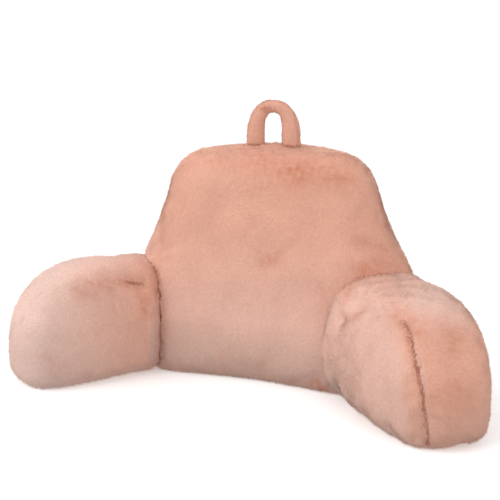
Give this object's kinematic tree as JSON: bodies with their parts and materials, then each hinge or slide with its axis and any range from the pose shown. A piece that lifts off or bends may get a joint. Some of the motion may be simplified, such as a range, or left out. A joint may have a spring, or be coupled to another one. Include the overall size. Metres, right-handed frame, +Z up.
{
  "type": "reading pillow with arms",
  "caption": "Bed-rest reading pillow in short plush: a reclined, rounded backrest between two stuffed, splayed arms, with a carry loop on top.",
  "frame": {"origin": "middle of the pillow's footprint, on the surface it stands on", "axes": "+X to the viewer's right along the backrest, -Y the way the seat faces, +Z up"},
  "size_m": [0.8638, 0.3826, 0.5047],
  "materials": {
    "plush": "short dense blush-pink pile, matt with a soft sheen",
    "handle_plush": "short dense blush-pink pile, folded to a tube"
  },
  "bodies": {
    "root": {"backrest": "plush", "arm_left": "plush", "arm_right": "plush", "carry_handle": "handle_plush"}
  },
  "joints": []
}
